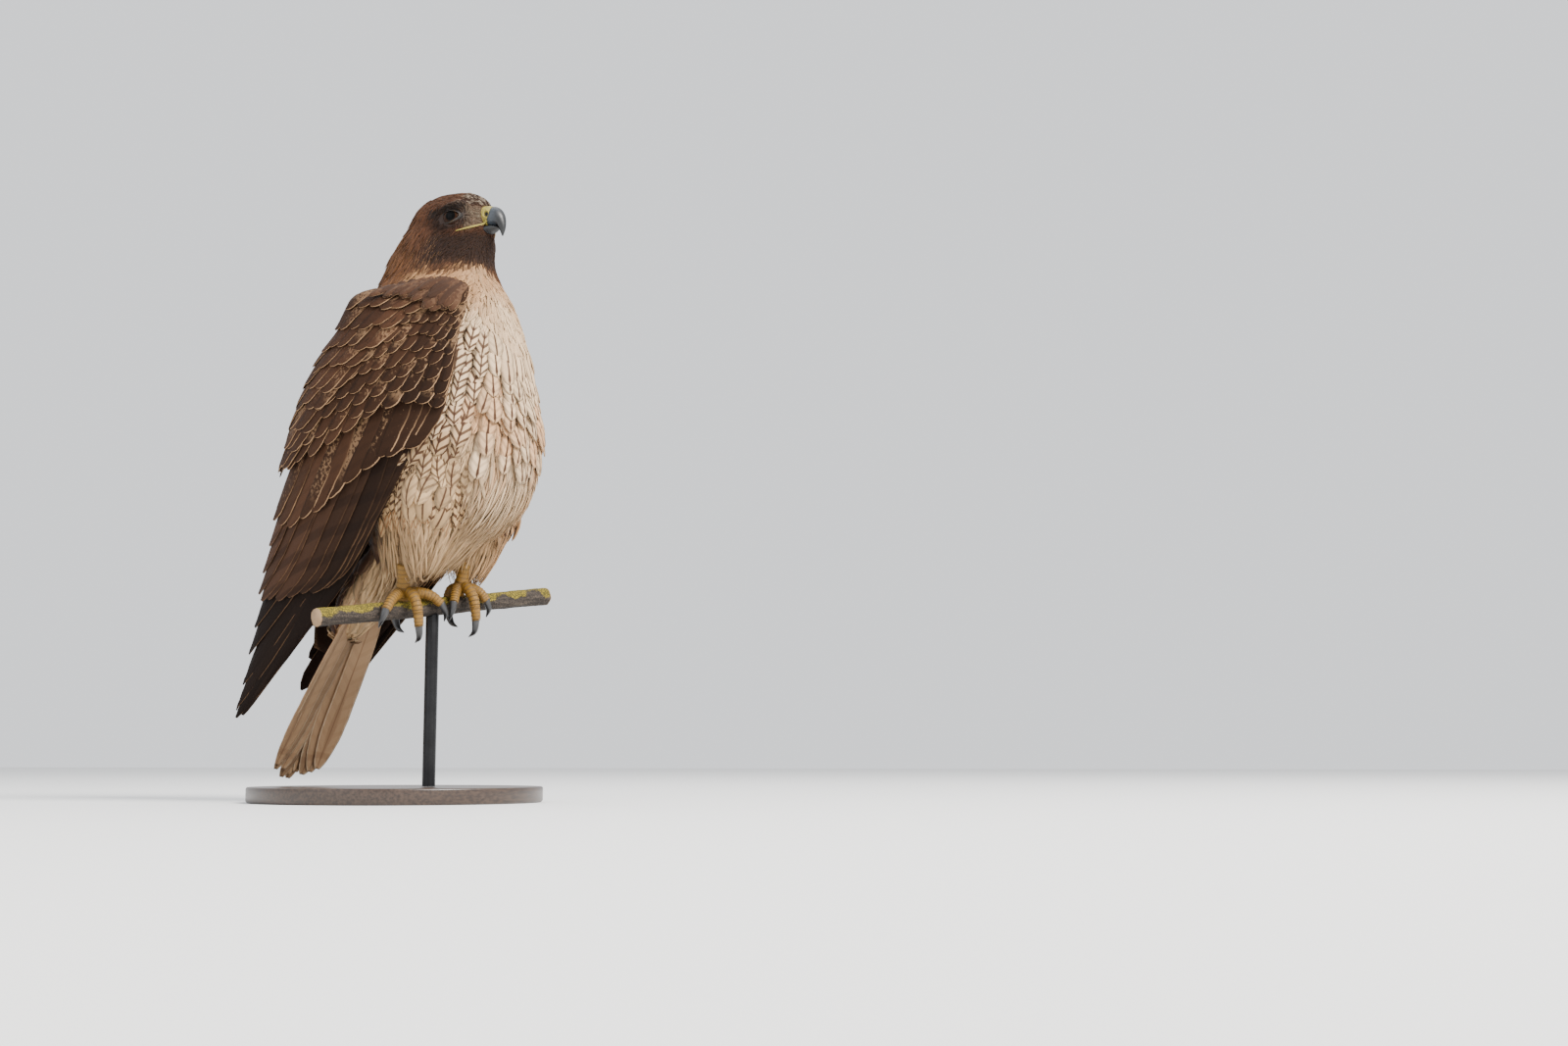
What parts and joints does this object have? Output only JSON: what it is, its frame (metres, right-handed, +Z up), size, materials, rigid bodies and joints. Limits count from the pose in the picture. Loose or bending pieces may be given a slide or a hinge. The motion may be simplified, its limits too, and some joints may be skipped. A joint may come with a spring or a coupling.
{
  "type": "red-tailed hawk",
  "caption": "Life-size still model of a perched red-tailed hawk with folded wings and hanging tail, gripping a short branch held over a round base by one rod",
  "frame": {"origin": "underside of the round base, straight below the middle of the branch, where the rod stands", "axes": "+Z up, the bird's face towards -Y, its left side towards +X"},
  "size_m": [0.224, 0.2501, 0.4769],
  "materials": {
    "stand_wood": "dark satin lacquered wood",
    "stand_metal": "satin black steel rod",
    "bark": "rough grey-brown bark with yellow-green moss",
    "plumage_body": "cream breast feathers with rufous-brown streaks and bars",
    "plumage_head": "warm brown head and neck feathers",
    "plumage_wing": "dark brown wing feathers with pale buff fringes",
    "plumage_tail": "rufous tail feathers, paler and pinkish below",
    "plumage_leg": "cream buff feathers of the thighs and under the tail",
    "scaled_skin": "mustard yellow scaled skin of the feet",
    "claw_horn": "polished grey-black horn",
    "bill_horn": "blue-grey horn, black at the tip",
    "cere_skin": "smooth yellow-green bare skin",
    "eye_glass": "wet dark brown eye"
  },
  "bodies": {
    "root": {"stand_base": "stand_wood", "stand_rod": "stand_metal", "perch": "bark", "torso": "plumage_body", "neck": "plumage_head", "head": "plumage_head", "cere": "cere_skin", "bill_upper": "bill_horn", "bill_lower": "bill_horn", "eye_right": "eye_glass", "wing_right": "plumage_wing", "thigh_right": "plumage_leg", "tarsus_right": "scaled_skin", "toe_hind_right": "scaled_skin", "claw_hind_right": "claw_horn", "toe_inner_right": "scaled_skin", "claw_inner_right": "claw_horn", "toe_middle_right": "scaled_skin", "claw_middle_right": "claw_horn", "toe_outer_right": "scaled_skin", "claw_outer_right": "claw_horn", "eye_left": "eye_glass", "wing_left": "plumage_wing", "thigh_left": "plumage_leg", "tarsus_left": "scaled_skin", "toe_hind_left": "scaled_skin", "claw_hind_left": "claw_horn", "toe_inner_left": "scaled_skin", "claw_inner_left": "claw_horn", "toe_middle_left": "scaled_skin", "claw_middle_left": "claw_horn", "toe_outer_left": "scaled_skin", "claw_outer_left": "claw_horn", "tail_coverts": "plumage_leg", "tail": "plumage_tail"}
  },
  "joints": []
}
